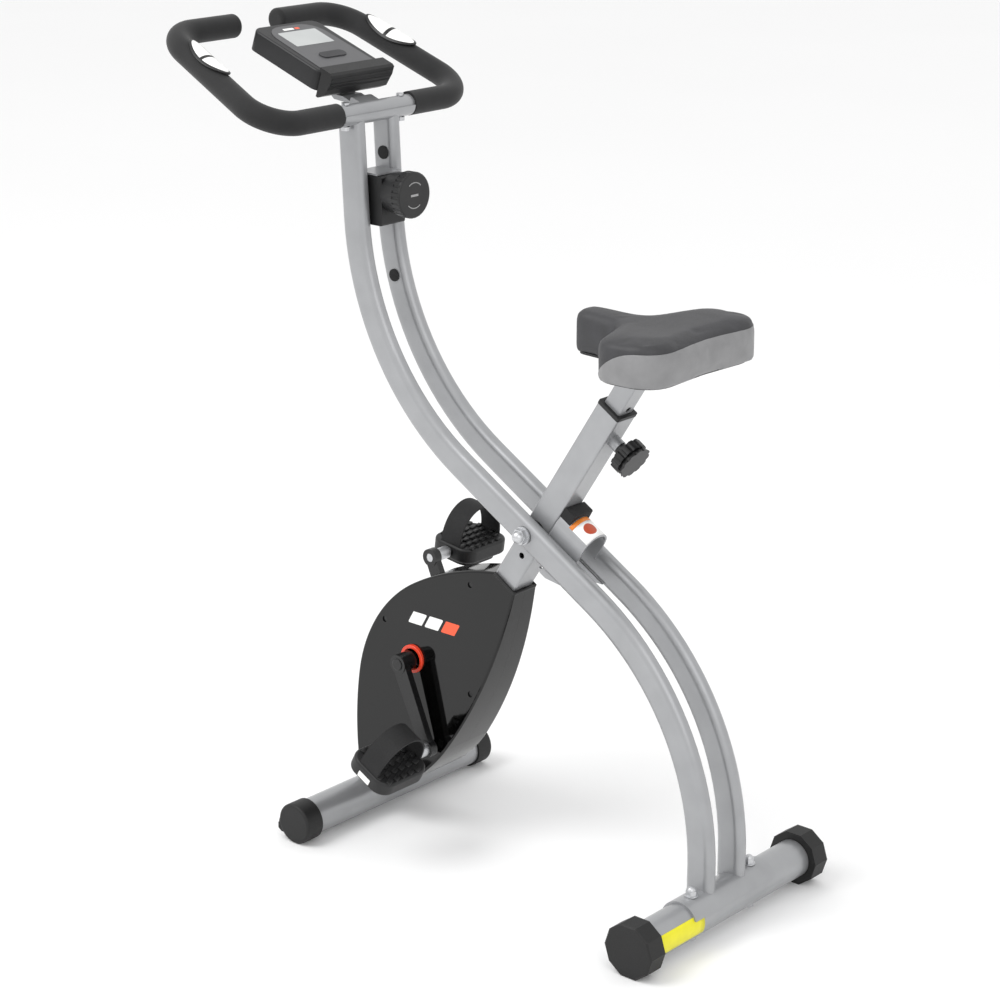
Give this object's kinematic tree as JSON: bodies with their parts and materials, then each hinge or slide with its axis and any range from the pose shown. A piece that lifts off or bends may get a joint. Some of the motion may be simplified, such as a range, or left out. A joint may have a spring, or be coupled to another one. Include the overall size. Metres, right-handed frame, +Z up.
{
  "type": "folding exercise bike",
  "caption": "Folding upright exercise bike: straight main tube with saddle and drive cover, crossed by a curved twin mast carrying handlebar, console and rear foot.",
  "frame": {"origin": "middle of the bounding box, on the floor", "axes": "+X to the rear (the saddle end), +Y to the rider's right, +Z up"},
  "size_m": [0.8707, 0.4024, 1.1011],
  "materials": {
    "frame_paint": "silver-grey satin paint",
    "steel": "bright zinc plating",
    "dark_steel": "black semi-gloss paint",
    "machined_steel": "machined",
    "cast_iron": "machined rim",
    "cover_gloss": "high gloss black",
    "black_plastic": "moulded, fine texture",
    "console_plastic": "satin black",
    "display": "grey liquid crystal window",
    "button": "soft-touch",
    "foam": "matt foam",
    "sensor_white": "white moulding",
    "sensor_metal": "polished plate",
    "orange_plastic": "orange ring",
    "rubber": "moulded rubber",
    "belt": "ribbed belt",
    "seat_leather": "dark grey synthetic leather",
    "seat_skirt": "silver-grey synthetic leather",
    "seat_board": "moulded board"
  },
  "bodies": {
    "main_frame": {"main_tube": "frame_paint", "front_stabilizer": "frame_paint", "front_end_caps": "black_plastic", "crank_bearings": "machined_steel", "flywheel_bearings": "machined_steel", "drive_belt": "belt", "speed_sensor": "black_plastic", "pivot_bolt": "steel", "pivot_cap_nuts": "steel", "pivot_spacers": "black_plastic", "cover_left": "cover_gloss", "cover_right": "cover_gloss", "cover_screws": "dark_steel", "hub_rings": "orange_plastic", "seat_bush": "black_plastic"},
    "mast_frame": {"mast_left": "frame_paint", "mast_right": "frame_paint", "mast_cross_members": "frame_paint", "rest_pad": "rubber", "lock_cheeks": "frame_paint", "tension_housing": "black_plastic", "mast_grommets": "rubber", "handlebar_saddle": "frame_paint", "handlebar_tube": "frame_paint", "grip_left": "foam", "grip_right": "foam", "handlebar_bolts": "steel", "pulse_sensor_bases": "sensor_white", "pulse_sensor_plates": "sensor_metal", "console_body": "console_plastic", "console_display": "display", "phone_ledge": "black_plastic", "console_stay": "frame_paint", "rear_stabilizer": "frame_paint", "rear_saddle": "frame_paint", "rear_bolts": "steel"},
    "crank": {"crank_spindle": "machined_steel", "drive_pulley": "black_plastic", "crank_arms": "dark_steel", "pedal_axles": "steel"},
    "left_pedal": {"pedal_left": "black_plastic", "pedal_strap_left": "rubber"},
    "right_pedal": {"pedal_right": "black_plastic", "pedal_strap_right": "rubber"},
    "flywheel": {"flywheel_disc": "cast_iron", "flywheel_axle": "machined_steel"},
    "brake_arm": {"brake_shoe": "dark_steel", "brake_magnets": "machined_steel"},
    "tension_dial": {"tension_knob": "black_plastic"},
    "seat": {"seat_post": "frame_paint", "seat_pan": "seat_board", "seat_skirt": "seat_skirt", "seat_cushion": "seat_leather"},
    "seat_pull_pin": {"seat_pin": "black_plastic"},
    "fold_lock": {"lock_pin": "black_plastic"},
    "wheel_left": {"transport_wheel_left": "rubber"},
    "wheel_right": {"transport_wheel_right": "rubber"},
    "level_left": {"levelling_cap_left": "black_plastic"},
    "level_right": {"levelling_cap_right": "black_plastic"},
    "console_key": {"console_button": "button"}
  },
  "joints": [
    {"name": "fold", "type": "hinge", "parent": "main_frame", "child": "mast_frame", "pos_m": [0.1009, 0, 0.4758], "axis": [0, 1, 0], "range_deg": [0, 47]},
    {"name": "crank_spin", "type": "hinge", "parent": "main_frame", "child": "crank", "pos_m": [-0.1051, 0, 0.249], "axis": [0, 1, 0], "continuous": true},
    {"name": "left_pedal_spin", "type": "hinge", "parent": "crank", "child": "left_pedal", "pos_m": [-0.05548, -0.139, 0.13755], "axis": [0, 1, 0], "continuous": true},
    {"name": "right_pedal_spin", "type": "hinge", "parent": "crank", "child": "right_pedal", "pos_m": [-0.15473, 0.139, 0.36045], "axis": [0, 1, 0], "continuous": true},
    {"name": "flywheel_spin", "type": "hinge", "parent": "main_frame", "child": "flywheel", "pos_m": [-0.11468, 0, 0.14], "axis": [0, 1, 0], "continuous": true},
    {"name": "brake_swing", "type": "hinge", "parent": "main_frame", "child": "brake_arm", "pos_m": [-0.16528, 0, 0.1824], "axis": [0, 1, 0], "range_deg": [0, 6.5]},
    {"name": "tension_turn", "type": "hinge", "parent": "mast_frame", "child": "tension_dial", "pos_m": [-0.1256, 0, 0.8855], "axis": [1, 0, 0], "range_deg": [0, 270]},
    {"name": "seat_height", "type": "slide", "parent": "main_frame", "child": "seat", "axis": [0.5402, 0, 0.8415], "range_m": [-0.05, 0.1]},
    {"name": "seat_pin_pull", "type": "slide", "parent": "main_frame", "child": "seat_pull_pin", "axis": [0.8415, 0, -0.5402], "range_m": [0, 0.009], "stiffness_N_per_m": 900, "springref_m": -0.004},
    {"name": "fold_lock_slide", "type": "slide", "parent": "mast_frame", "child": "fold_lock", "axis": [0, -1, 0], "range_m": [0, 0.009]},
    {"name": "wheel_left_spin", "type": "hinge", "parent": "main_frame", "child": "wheel_left", "pos_m": [-0.2094, -0.17935, 0.0198], "axis": [0, 1, 0], "continuous": true},
    {"name": "wheel_right_spin", "type": "hinge", "parent": "main_frame", "child": "wheel_right", "pos_m": [-0.2094, 0.17935, 0.0198], "axis": [0, 1, 0], "continuous": true},
    {"name": "level_left_turn", "type": "hinge", "parent": "mast_frame", "child": "level_left", "pos_m": [0.3988, -0.19135, 0.03565], "axis": [0, 1, 0], "range_deg": [-90, 90]},
    {"name": "level_right_turn", "type": "hinge", "parent": "mast_frame", "child": "level_right", "pos_m": [0.3988, 0.19135, 0.03565], "axis": [0, 1, 0], "range_deg": [-90, 90]},
    {"name": "console_key_press", "type": "slide", "parent": "mast_frame", "child": "console_key", "axis": [-0.3404, 0, -0.9403], "range_m": [0, 0.0015], "stiffness_N_per_m": 400, "springref_m": -0.001}
  ],
  "couplings": [
    {"joint": "flywheel_spin", "follows": "crank_spin", "ratio": 5.4545},
    {"joint": "brake_swing", "follows": "tension_turn", "ratio": 0.022222}
  ]
}
